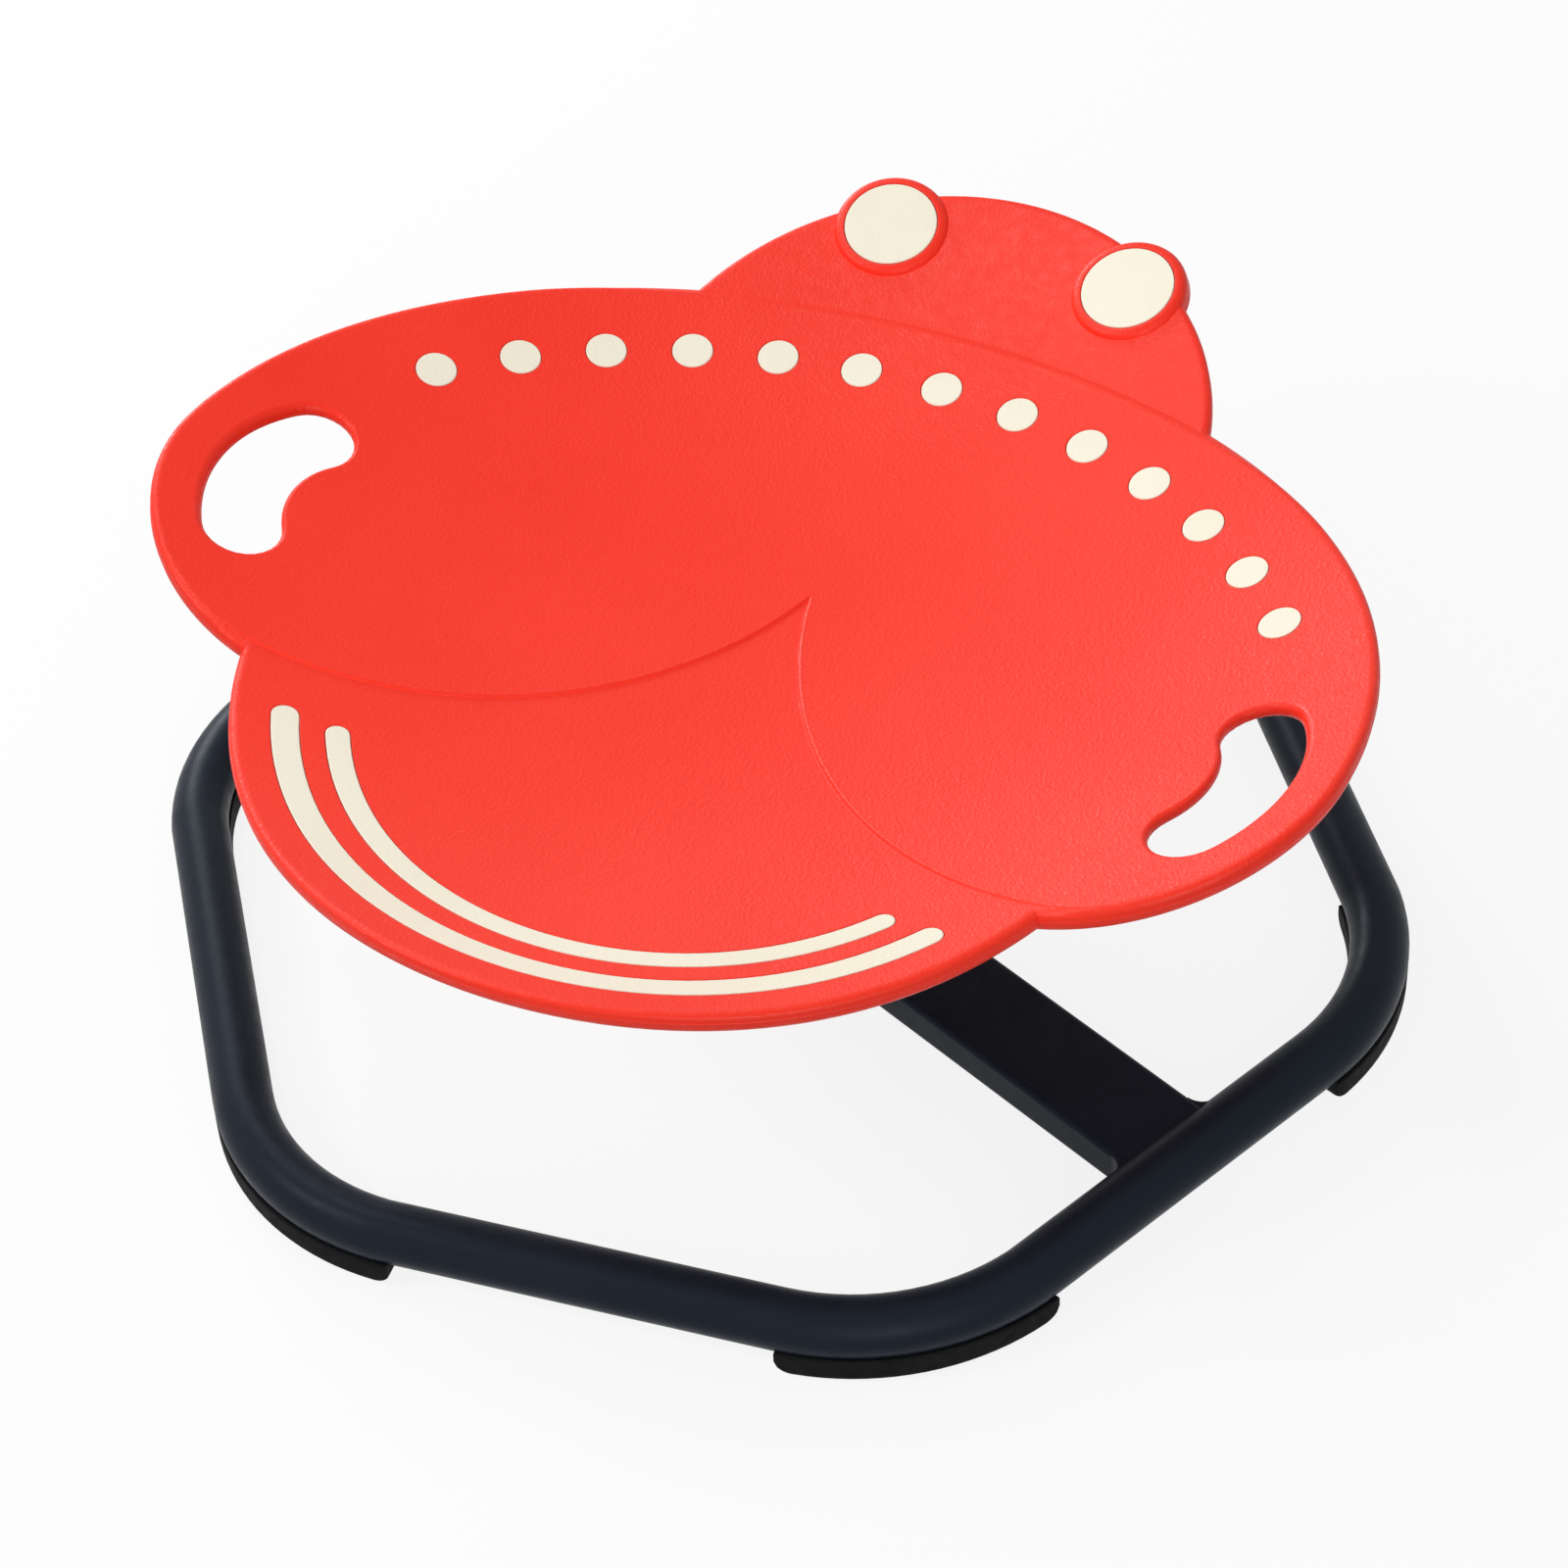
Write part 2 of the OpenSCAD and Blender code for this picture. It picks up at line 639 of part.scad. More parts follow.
module cross_bar() {
    color(frame_black) on_base() difference() {
        translate([-ring_apothem, 0, tube_z]) rotate([90, 0, 90])
            linear_extrude(2 * ring_apothem) difference() {
                rounded_rect(bar_w, bar_h, bar_corner_r);
                rounded_rect(bar_w - 2 * bar_wall, bar_h - 2 * bar_wall, bar_corner_r - bar_wall);
            }
        bar_cope(joint_gap);
        translate([0, 0, bar_z - over]) cylinder(h = bar_h + 2 * over, d = access_d);
    }
}

module bar_welds() {
    color(frame_black) on_base() difference() {
        for (sx = [0, 1], sy = [0, 1]) mirror([sx, 0, 0]) mirror([0, sy, 0])
            translate([ring_apothem - tube_r - bar_weld_leg, bar_w / 2, tube_z - bar_weld_h / 2])
                linear_extrude(bar_weld_h) difference() {
                    square([bar_weld_leg + tube_r, bar_weld_leg]);
                    translate([0, bar_weld_leg]) circle(bar_weld_leg);
                }
        bar_cope(0);
    }
}

module bearing_housing() {
    seat_r = bearing_d / 2;
    color(frame_black) difference() {
        translate([0, 0, bar_top]) cylinder(h = housing_h, d = housing_d);
        translate([0, 0, bar_top - over]) cylinder(h = housing_h + 2 * over, d = housing_bore_d);
        translate([0, 0, bar_top - over])
            cylinder(h = lower_z + bearing_w - bar_top + over, r = seat_r);
        translate([0, 0, upper_z]) cylinder(h = housing_top - upper_z + over, r = seat_r);
    }
}

module housing_weld_bead() {
    color(frame_black) rotate_extrude()
        polygon([[housing_d / 2, bar_top], [housing_d / 2 + housing_weld, bar_top],
            [housing_d / 2, bar_top + housing_weld]]);
}

module access_plug() {
    r_out = access_d / 2 - joint_gap;
    color(rubber_black) rotate_extrude() {
        translate([0, bar_z - plug_flange_t]) square([plug_flange_d / 2, plug_flange_t]);
        translate([r_out - plug_wall, bar_z - plug_flange_t])
            square([plug_wall, plug_depth + plug_flange_t]);
    }
}

module pad_profile() {
    inner_w = pad_w - 2 * pad_edge_r;
    translate([bend_r, 0]) difference() {
        union() {
            translate([-pad_w / 2, pad_edge_r]) square([pad_w, pad_top - pad_edge_r]);
            translate([-inner_w / 2, 0]) square([inner_w, pad_edge_r]);
            for (s = [-1, 1]) translate([s * inner_w / 2, pad_edge_r]) circle(pad_edge_r);
        }
        translate([0, tube_z]) circle(tube_r + joint_gap);
    }
}

// Cut that rounds the lower corner of a pad's end, with an arc that meets both faces at a slight angle
module pad_end_cut() {
    rotate([90, 0, 90]) translate([-pad_end_r, 0, bend_r - pad_w])
        linear_extrude(2 * pad_w) difference() {
            translate([0, -over]) square([pad_end_r + over, pad_end_r + over]);
            translate([0, pad_end_r]) circle(pad_end_r + joint_gap);
        }
}

module foot_pad(k) {
    color(rubber_black) on_base() difference() {
        at_corner(k) difference() {
            rotate(-pad_angle / 2) rotate_extrude(angle = pad_angle) pad_profile();
            rotate(pad_angle / 2) pad_end_cut();
            rotate(-pad_angle / 2) mirror([0, 1, 0]) pad_end_cut();
        }
        pad_screw_places(k) {
            translate([0, 0, -over])
                cylinder(h = pad_screw_sink + pad_screw_head_h + over,
                    r = pad_screw_head_d / 2 + joint_gap);
            cylinder(h = tube_z, r = pad_screw_d / 2 + joint_gap);
        }
    }
}

module foot_screws() {
    head_top = pad_screw_sink + pad_screw_head_h;
    color(steel_grey) on_base() for (k = [0 : corner_count - 1]) pad_screw_places(k) {
        translate([0, 0, pad_screw_sink]) cylinder(h = pad_screw_head_h, d = pad_screw_head_d);
        translate([0, 0, head_top]) cylinder(h = pad_screw_l, d = pad_screw_d);
    }
}

base_ring();
cross_bar();
bar_welds();
bearing_housing();
housing_weld_bead();
access_plug();
foot_pad(0);  // foot_pad_1
foot_pad(1);  // foot_pad_2
foot_pad(2);  // foot_pad_3
foot_pad(3);  // foot_pad_4
foot_pad(4);  // foot_pad_5
foot_pad(5);  // foot_pad_6
foot_screws();
outer_race(upper_z);  // upper_outer_race
ball_set(upper_z);  // upper_balls
ball_cage(upper_z);  // upper_cage
outer_race(lower_z);  // lower_outer_race
ball_set(lower_z);  // lower_balls
ball_cage(lower_z);  // lower_cage
seat_shell();
dot_inlays();
eye_inlay(-1);  // left_eye_inlay
eye_inlay(1);  // right_eye_inlay
stripe_inlay(outer_stripe_r, outer_stripe_w, outer_stripe_angle);  // outer_stripe_inlay
stripe_inlay(inner_stripe_r, inner_stripe_w, inner_stripe_angle);  // inner_stripe_inlay
threaded_inserts();
seat_plate();
plate_screws();
plate_washers();
spindle();
spindle_weld();
dust_seal();
inner_race(upper_z);  // upper_inner_race
spacer_sleeve();
inner_race(lower_z);  // lower_inner_race
spindle_washer();
spindle_nut();
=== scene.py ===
import json
import math

import bmesh
import bpy
from mathutils import Matrix, Vector


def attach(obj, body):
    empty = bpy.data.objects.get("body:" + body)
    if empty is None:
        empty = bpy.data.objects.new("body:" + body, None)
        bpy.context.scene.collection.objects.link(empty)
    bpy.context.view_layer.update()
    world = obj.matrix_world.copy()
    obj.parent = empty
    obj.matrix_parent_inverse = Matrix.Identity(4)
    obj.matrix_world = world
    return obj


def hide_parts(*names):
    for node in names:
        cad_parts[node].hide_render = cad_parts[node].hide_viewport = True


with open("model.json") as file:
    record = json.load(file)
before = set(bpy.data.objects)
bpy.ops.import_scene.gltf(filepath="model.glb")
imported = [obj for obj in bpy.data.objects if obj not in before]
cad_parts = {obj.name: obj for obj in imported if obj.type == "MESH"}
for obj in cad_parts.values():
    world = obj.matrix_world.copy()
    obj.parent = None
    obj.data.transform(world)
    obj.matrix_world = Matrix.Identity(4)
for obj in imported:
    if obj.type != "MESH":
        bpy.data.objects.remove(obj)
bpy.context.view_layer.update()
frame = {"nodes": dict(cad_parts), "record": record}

MM = 0.001
nodes = frame["nodes"]

# Seat outline, in millimetres: round head, round body, and wings with a round lobe at each tip
HEAD_Y, HEAD_R = 151.0, 145.0
BODY_Y, BODY_R = -53.0, 213.8
WING_HALF, WING_TOP, WING_Y, LOBE_R = 295.5, 247.5, -25.3, 101.0
LOBE_X = WING_HALF - LOBE_R
HEAD_REACH, TAIL_REACH = HEAD_Y + HEAD_R, BODY_R - BODY_Y
OUTLINE_RUNS, HALVINGS = (54, 84, 48, 76), 60

# Seat dish and shell
SEAT_Z, SEAT_T, RIM_R, FLAT_MARGIN = 151.5, 12.0, 4.5, 1.2
WING_RISE, HEAD_RISE, TAIL_RISE, TAIL_FLAT = 65.0, 69.0, 39.0, 0.73
BOSS_R, BOSS_Z, BOSS_TOP, BOSS_SOFT, BOSS_SIDES = 80.0, 125.5, 148.5, 1.5, 96
PARTING, PARTING_HALF, PARTING_OUT = -SEAT_T / 2, 0.4, 0.25
RIM_ANGLES = (18, 36, 54, 72, 90)
EDGE_ANGLES = (15, 30, 45, 60, 75, 90)

# Grip slots
SLOT_R, SLOT_HALF, SLOT_FRONT, SLOT_REAR = 60.0, 18.0, 32.0, 38.0
SLOT_EDGE_T, SLOT_LAND, SLOT_SOFT, LAND_CUT = 7.0, 9.0, 3.3, 10.0

# Raised wings and the stepped seams around them
WING_LIFT, PANEL_DROP, SEAM_HALF, SEAM_DIP, SEAM_MARK = 0.65, 0.5, 0.85, 0.1, 0.02
SEAM_BEAD, BEAD_AT, BEAD_HALF = 0.1, 1.2, 1.4
HEAD_SEAM_SOFT, SEAM_STEPS_LEAST = 0.42, 12
SEAM_ROWS = (-2.6, -1.9, -1.2, -0.5, 0.0, 0.5, 1.0)
WING_SEAM, WING_SEAM_END = (221.7, 108.1, 230.1), 266.0
HEAD_SEAM, HEAD_SEAM_SPAN = (0.0, -148.4, 364.4), (65.0, 115.0)

# Cream inlays
DOT_R, DOT_ARC_R, DOT_ARC_Y, DOT_PITCH, DOT_SIDE, DOT_SIDES = 10.4, 285.0, -98.5, 8.55, 6, 40
KNOB_R, KNOB_LIFT, KNOB_X, KNOB_Y, EYE_R, KNOB_SIDES = 29.0, 3.0, 65.07, 261.46, 23.6, 72
STRIPES = {"outer": (189.0, 13.0, 59.0), "inner": (166.0, 11.5, 56.0)}
BAND_STEP, BAND_END_STEPS = 2.5, 14
INLAY_DEPTH, INLAY_GAP, INLAY_SOFT, INLAY_PROUD = 4.0, 0.3, 0.6, 0.1

# Base, turned under the seat
BASE_TURN, RING_SIDE, BEND_R, TUBE_R, TUBE_Z = -19.6, 312.0, 116.0, 14.0, 20.5
CORNERS = 6
CORNER = 360.0 / CORNERS
RING_APOTHEM = RING_SIDE * math.cos(math.radians(CORNER / 2))
BEND_MID = RING_SIDE - BEND_R / math.cos(math.radians(CORNER / 2))
STRAIGHT = RING_SIDE - 2 * BEND_R * math.tan(math.radians(CORNER / 2))
TUBE_SIDES, BEND_STEPS = 48, 16

# Rubber pads: section, lip as steps inward and down from the outer top corner, rounded ends, screws
PAD_HALF, PAD_TOP, PAD_EDGE, PAD_GAP, PAD_LIP_IN = 14.0, 13.5, 3.5, 0.15, 0.2
PAD_LIP = ((0.0, 0.9), (0.3, 0.25), (0.8, 0.0))
PAD_EDGE_STEPS, PAD_HOLLOW_STEPS, PAD_END_STEPS, PAD_RUN_STEPS = 5, 16, 6, 18
PAD_END, PAD_ANGLE = 7.0, 59.0
PAD_SCREW_ANGLE, PAD_SCREW_R, PAD_SCREW_TOP, PAD_SCREW_SIDES = 18.0, 4.15, 4.5, 32

# Flat bar and its welds
BAR_HALF, BAR_LOW, BAR_HIGH, BAR_CORNER = 25.0, 10.5, 30.5, 3.5
BAR_HOLE_R, BAR_HOLE_SIDES = 16.5, 48
BAR_REACH = RING_APOTHEM - TUBE_R / 2
WELD_LEG, WELD_SOFT, WELD_DROP, WELD_STEPS = 9.0, 1.8, 0.5, 12

# Working values: start radius of a drawn face, cutters, slices, nearness, and angles of creases
START_R = 0.1
CUT_SPARE, CUT_START = 3.0, 0.04
SLICE, SLICE_SHIFT, SLICE_NEAR = 8.0, 0.37, 1e-6
LEVEL_NEAR, TUBE_NEAR, DOWNWARD = 0.01, 0.05, -0.99
SEAT_CREASE, INLAY_CREASE, BASE_CREASE = 38, 50, 40


# Choosing a piece to work on
def none_picked():
    if bpy.context.mode != "OBJECT":
        bpy.ops.object.mode_set(mode="OBJECT")
    bpy.ops.object.select_all(action="DESELECT")


def pick(piece):
    none_picked()
    piece.select_set(True)
    bpy.context.view_layer.objects.active = piece


def open_piece(piece):
    pick(piece)
    bpy.ops.object.mode_set(mode="EDIT")
    return bmesh.from_edit_mesh(piece.data)


def close_piece():
    bpy.ops.object.mode_set(mode="OBJECT")


def pick_faces(piece, wanted):
    bpy.ops.mesh.select_mode(type="FACE")
    bpy.ops.mesh.select_all(action="DESELECT")
    mesh = bmesh.from_edit_mesh(piece.data)
    for face in mesh.faces:
        face.select_set(wanted(face))
    bmesh.update_edit_mesh(piece.data)


def facing_down(face):
    return face.normal.z < DOWNWARD


# A circle primitive whose corners are drawn out to the given places, open in edit mode and selected
def drawn_circle(name, places, fill="NGON"):
    none_picked()
    bpy.ops.mesh.primitive_circle_add(vertices=len(places), radius=START_R, fill_type=fill)
    piece = bpy.context.object
    piece.name = name
    mesh = open_piece(piece)
    mesh.verts.ensure_lookup_table()
    for corner, place in zip(mesh.verts, places):
        corner.co = place
    bmesh.update_edit_mesh(piece.data)
    bpy.ops.mesh.select_mode(type="FACE")
    bpy.ops.mesh.select_all(action="SELECT")
    return piece


# One flat face that looks up
def flat_face(name, outline, height):
    return drawn_circle(name, [(x * MM, y * MM, height * MM) for x, y in outline])


def raise_face(distance):
    bpy.ops.mesh.extrude_region_move(TRANSFORM_OT_translate={"value": (0, 0, distance * MM)})


def draw_in(inset, depth):
    bpy.ops.mesh.inset(thickness=inset * MM, depth=depth * MM, use_even_offset=True)


# What is selected, carried round an upright axis, anticlockwise from above: spin itself turns the other way
def carry_round(steps, degrees, centre):
    bpy.ops.mesh.spin(steps=steps, angle=-math.radians(degrees), center=centre, axis=(0, 0, 1))


def outward():
    bpy.ops.mesh.select_all(action="SELECT")
    bpy.ops.mesh.normals_make_consistent(inside=False)


def round_over(radius):
    before = (0.0, 0.0)
    for angle in RIM_ANGLES:
        a = math.radians(angle)
        now = (radius * (1 - math.cos(a)), radius * math.sin(a))
        draw_in(now[0] - before[0], now[1] - before[1])
        before = now


# A plate with both of its edges rounded over, from low to high, with a margin around its flat faces
def rounded_plate(name, outline, low, high, radius, rows=(), margin=0.0):
    level = low + radius
    piece = flat_face(name, outline, level)
    for row in rows + (high - radius,):
        raise_face(row - level)
        level = row
    for side in ("upper", "lower"):
        if side == "lower":
            pick_faces(piece, facing_down)
        round_over(radius)
        if margin:
            draw_in(margin, 0)
        outward()
    close_piece()
    return piece


# A cutter that leaves a soft edge: going down or up from its start, each step is an inset and a depth
def stepped_cutter(name, outline, start, steps, way=-1):
    piece = flat_face(name, outline, start)
    if way < 0:
        bpy.ops.mesh.flip_normals()
    for inset, depth in steps:
        if inset:
            draw_in(inset, depth)
        else:
            raise_face(way * depth)
    outward()
    close_piece()
    return piece


# Steps of a cutter around a rounded edge, from the face into the hole
def round_edge(radius):
    steps, before = [], (0.0, 1.0)
    for angle in EDGE_ANGLES:
        now = (math.sin(math.radians(angle)), math.cos(math.radians(angle)))
        steps.append((radius * (now[0] - before[0]), radius * (before[1] - now[1])))
        before = now
    return tuple(steps)


def carve(piece, tool, how="DIFFERENCE"):
    cut = piece.modifiers.new("cut", "BOOLEAN")
    cut.object = tool
    cut.operation = how
    cut.solver = "EXACT"
    pick(piece)
    bpy.ops.object.modifier_apply(modifier=cut.name)
    bpy.data.objects.remove(tool, do_unlink=True)


def merge_near(piece, distance):
    open_piece(piece)
    bpy.ops.mesh.select_all(action="SELECT")
    bpy.ops.mesh.remove_doubles(threshold=distance * MM)
    close_piece()


def join_all(pieces, name):
    pick(pieces[0])
    for piece in pieces:
        piece.select_set(True)
    bpy.ops.object.join()
    pieces[0].name = name
    pieces[0].data.name = name
    return pieces[0]


# A copy with its own mesh, turned about the seat's axis
def turned_copy(piece, name, degrees):
    pick(piece)
    bpy.ops.object.duplicate()
    copy = bpy.context.object
    copy.name = name
    copy.data.transform(Matrix.Rotation(math.radians(degrees), 4, "Z"))
    return copy


def soften(piece, angle):
    pick(piece)
    bpy.ops.object.shade_smooth_by_angle(angle=math.radians(angle))
    even = piece.modifiers.new("even_shading", "WEIGHTED_NORMAL")
    even.keep_sharp = True
    bpy.ops.object.modifier_apply(modifier=even.name)


# Slices across a piece in both directions, so that it can follow the dish
def slice_up(piece):
    open_piece(piece)
    bpy.ops.mesh.select_mode(type="FACE")
    reaches = [[corner[axis] / MM for corner in piece.bound_box] for axis in range(2)]
    for axis, reach in enumerate(reaches):
        place = math.floor(min(reach) / SLICE) * SLICE + SLICE_SHIFT * SLICE
        while place < max(reach):
            point, normal = [0.0, 0.0, 0.0], [0.0, 0.0, 0.0]
            point[axis], normal[axis] = place * MM, 1.0
            bpy.ops.mesh.select_all(action="SELECT")
            bpy.ops.mesh.bisect(plane_co=point, plane_no=normal, threshold=SLICE_NEAR)
            place += SLICE
    close_piece()


# The dish that all pieces of the seat follow
def dish(x, y):
    t = y / TAIL_REACH
    tail = TAIL_RISE * ((1 - TAIL_FLAT) * t * t + TAIL_FLAT * t ** 4)
    length_rise = HEAD_RISE * (y / HEAD_REACH) ** 2 if y > 0 else tail
    return SEAT_Z + WING_RISE * (x / WING_HALF) ** 2 + length_rise


def dish_slope(x, y):
    t = y / TAIL_REACH
    tail = TAIL_RISE / TAIL_REACH * (2 * (1 - TAIL_FLAT) * t + 4 * TAIL_FLAT * t ** 3)
    along = 2 * HEAD_RISE * y / HEAD_REACH ** 2 if y > 0 else tail
    return Vector((2 * WING_RISE * x / WING_HALF ** 2, along, 0.0))


def on_dish(x, y):
    slope = dish_slope(x, y)
    axis = Vector((slope.y, -slope.x, 0.0))
    turn = Matrix.Rotation(math.atan(slope.length), 4, axis) if slope.length else Matrix.Identity(4)
    return Matrix.Translation(Vector((x, y, dish(x, y))) * MM) @ turn


# How far a place lies inside the wings, measured from their seams
def inside_wings(x, y):
    cx, cy, r = WING_SEAM
    rear = r - math.hypot(abs(x) - cx, min(0.0, y - cy))
    front = HEAD_SEAM[2] - math.hypot(x - HEAD_SEAM[0], y - HEAD_SEAM[1])
    return min(rear, front * HEAD_SEAM_SOFT)


# The wings stand a little proud, with a fine dip along the foot of the step and a low bead on its edge
def relief(x, y):
    inside = inside_wings(x, y)
    t = min(1.0, max(0.0, 0.5 + inside / (2 * SEAM_HALF)))
    share = t * t * (3 - 2 * t)
    dip = SEAM_DIP * max(0.0, 1 - abs(2 * inside / SEAM_HALF + 1))
    bead = SEAM_BEAD * max(0.0, 1 - abs(inside / SEAM_HALF - BEAD_AT) / BEAD_HALF)
    return WING_LIFT * share - PANEL_DROP * (1 - share) - dip + bead


def follow_dish(piece):
    for corner in piece.data.vertices:
        x, y, z = corner.co / MM
        upper = min(1.0, max(0.0, (z - PARTING) / -PARTING))
        corner.co.z = (z + dish(x, y) + upper * relief(x, y)) * MM
    piece.data.update()


# Outlines, drawn anticlockwise
def ray_circle(turn, cx, cy, r):
    b = math.sin(turn) * cx + math.cos(turn) * cy
    q = b * b - cx * cx - cy * cy + r * r
    return b + math.sqrt(q) if q > 0 else 0.0


def ray_head(turn):
    return ray_circle(turn, 0.0, HEAD_Y, HEAD_R)


def ray_body(turn):
    return ray_circle(turn, 0.0, BODY_Y, BODY_R)


def ray_wing(turn):
    a = (math.sin(turn) / WING_HALF) ** 2 + (math.cos(turn) / WING_TOP) ** 2
    b = -math.cos(turn) * WING_Y / WING_TOP ** 2
    c = (WING_Y / WING_TOP) ** 2 - 1
    top = (-b + math.sqrt(b * b - a * c)) / a
    return top if top * math.cos(turn) >= WING_Y else ray_circle(turn, LOBE_X, WING_Y, LOBE_R)


def crossing(first, second, low, high):
    for _ in range(HALVINGS):
        middle = (low + high) / 2
        if first(middle) > second(middle):
            low = middle
        else:
            high = middle
    return middle


def seat_outline():
    quarter = math.pi / 2
    stops = [0.0, crossing(ray_head, ray_wing, 0.0, quarter),
             quarter + math.atan(-WING_Y / WING_HALF),
             crossing(ray_wing, ray_body, quarter, 2 * quarter), 2 * quarter]
    turns = []
    for start, end, count in zip(stops, stops[1:], OUTLINE_RUNS):
        turns += [start + (end - start) * i / count for i in range(count)]
    half = []
    for turn in turns + [math.pi]:
        reach = max(ray_head(turn), ray_wing(turn), ray_body(turn))
        half.append((reach * math.sin(turn), reach * math.cos(turn)))
    left = [(-x, y) for x, y in half]
    return left + half[-2:0:-1]


# A curved band with round ends
def band_outline(cx, cy, r, half, start, end):
    def at(reach, angle):
        return (cx + reach * math.cos(angle), cy + reach * math.sin(angle))

    a, b = math.radians(start), math.radians(end)
    count = round((end - start) / BAND_STEP)
    outer = [at(r + half, a + (b - a) * i / count) for i in range(count + 1)]
    inner = [at(r - half, b + (a - b) * i / count) for i in range(count + 1)]
    rounds = []
    for place, first in ((b, b), (a, a + math.pi)):
        mid = at(r, place)
        swings = [first + math.pi * i / BAND_END_STEPS for i in range(1, BAND_END_STEPS)]
        rounds.append([(mid[0] + half * math.cos(s), mid[1] + half * math.sin(s)) for s in swings])
    return outer + rounds[0] + inner + rounds[1]


def slot_outline(side, half):
    right = band_outline(LOBE_X, WING_Y, SLOT_R, half, -SLOT_REAR, SLOT_FRONT)
    return right if side > 0 else [(-x, y) for x, y in reversed(right)]


def stripe_outline(name, spare):
    r, width, angle = STRIPES[name]
    return band_outline(0.0, BODY_Y, r, width / 2 + spare, -90 - angle, -90 + angle)


def round_line(r, count):
    turns = [2 * math.pi * i / count for i in range(count)]
    return [(r * math.cos(a), r * math.sin(a)) for a in turns]


# A disc that is round where it lies on the slope, seen from above
def disc_outline(x, y, r):
    slope = dish_slope(x, y)
    shrink = 1 / math.sqrt(1 + slope.length_squared)
    up = slope.normalized() if slope.length else Vector((1.0, 0.0, 0.0))
    places = []
    for along, across in round_line(r, DOT_SIDES):
        along *= shrink
        places.append((x + along * up.x - across * up.y, y + along * up.y + across * up.x))
    return places


def dot_places():
    angles = [math.radians(i * DOT_PITCH) for i in range(-DOT_SIDE, DOT_SIDE + 1)]
    return [(DOT_ARC_R * math.sin(a), DOT_ARC_R * math.cos(a) + DOT_ARC_Y) for a in angles]


def pocket_cutter(name, outline):
    steps = ((0, CUT_SPARE),) + round_edge(INLAY_SOFT) + ((0, INLAY_DEPTH - INLAY_SOFT + CUT_START),)
    return stepped_cutter(name, outline, CUT_SPARE + CUT_START, steps)


# Seam marker: a strip carried round an arc, which draws the rows of a step on the seat's face
def seam_marker(name, half, cx, cy, r, start, end):
    strip = [(half * row, -SEAM_MARK) for row in SEAM_ROWS]
    strip += [(half * SEAM_ROWS[-1], SEAT_T), (half * SEAM_ROWS[0], SEAT_T)]
    a = math.radians(start)
    places = [Vector((cx + (r + out) * math.cos(a), cy + (r + out) * math.sin(a), z)) * MM
              for out, z in strip]
    piece = drawn_circle(name, places)
    steps = max(SEAM_STEPS_LEAST, round(abs(end - start)))
    carry_round(steps, end - start, (cx * MM, cy * MM, 0))
    outward()
    close_piece()
    return piece


# Seat moulding: a rounded plate with its parting line, slots, pockets and seams, laid into the dish
def seat_moulding():
    rows = (PARTING - PARTING_HALF, PARTING, PARTING + PARTING_HALF)
    seat = rounded_plate("seat_moulding", seat_outline(), -SEAT_T, 0.0, RIM_R, rows, FLAT_MARGIN)
    mesh = open_piece(seat)
    bpy.ops.mesh.select_mode(type="VERT")
    bpy.ops.mesh.select_all(action="DESELECT")
    for corner in mesh.verts:
        corner.select_set(abs(corner.co.z / MM - PARTING) < LEVEL_NEAR)
    bmesh.update_edit_mesh(seat.data)
    bpy.ops.transform.shrink_fatten(value=PARTING_OUT * MM)
    close_piece()

    edge = ((0, CUT_SPARE),) + round_edge(SLOT_SOFT)
    below = -SLOT_EDGE_T - CUT_SPARE - CUT_START
    for side in (-1, 1):
        land = slot_outline(side, SLOT_HALF + SLOT_LAND)
        mouth = slot_outline(side, SLOT_HALF + SLOT_SOFT)
        carve(seat, stepped_cutter("land", land, -SLOT_EDGE_T, ((0, LAND_CUT),)))
        carve(seat, stepped_cutter("slot_above", mouth, CUT_SPARE + CUT_START, edge + ((0, SEAT_T),)))
        carve(seat, stepped_cutter("slot_below", mouth, below, edge + ((0, SLOT_SOFT),), 1))

    dots = [pocket_cutter("dot", disc_outline(x, y, DOT_R + INLAY_SOFT)) for x, y in dot_places()]
    stripes = [pocket_cutter("stripe", stripe_outline(name, INLAY_SOFT)) for name in STRIPES]
    carve(seat, join_all(dots + stripes, "pockets"))

    cx, cy, r = WING_SEAM
    cusp = math.degrees(math.atan2(math.sqrt(r * r - cx * cx), cx))
    carve(seat, seam_marker("right_seam", SEAM_HALF, cx, cy, r, 180 + cusp, WING_SEAM_END))
    carve(seat, seam_marker("left_seam", SEAM_HALF, -cx, cy, r, -cusp, 180 - WING_SEAM_END))
    carve(seat, seam_marker("head_seam", SEAM_HALF / HEAD_SEAM_SOFT, *HEAD_SEAM, *HEAD_SEAM_SPAN))
    merge_near(seat, 2 * SEAM_MARK)

    slice_up(seat)
    follow_dish(seat)
    return seat


# The moulding with the boss under it and the eye knobs on its head
def whole_seat():
    seat = seat_moulding()
    boss = flat_face("boss", round_line(BOSS_R, BOSS_SIDES), BOSS_TOP)
    bpy.ops.mesh.flip_normals()
    raise_face(BOSS_Z + BOSS_SOFT - BOSS_TOP)
    draw_in(BOSS_SOFT, BOSS_SOFT)
    outward()
    close_piece()
    carve(seat, boss, "UNION")

    knobs, pockets = [], []
    for side in (-1, 1):
        place = on_dish(side * KNOB_X, KNOB_Y)
        line = round_line(KNOB_R, KNOB_SIDES)
        knob = rounded_plate("knob", line, -SEAT_T, KNOB_LIFT, RIM_R, margin=FLAT_MARGIN)
        knob.data.transform(place)
        knobs.append(knob)
        pocket = pocket_cutter("eye_pocket", round_line(EYE_R + INLAY_SOFT, KNOB_SIDES))
        pocket.data.transform(place @ Matrix.Translation((0, 0, KNOB_LIFT * MM)))
        pockets.append(pocket)
    carve(seat, join_all(knobs, "knobs"), "UNION")
    carve(seat, join_all(pockets, "eye_pockets"))
    return seat


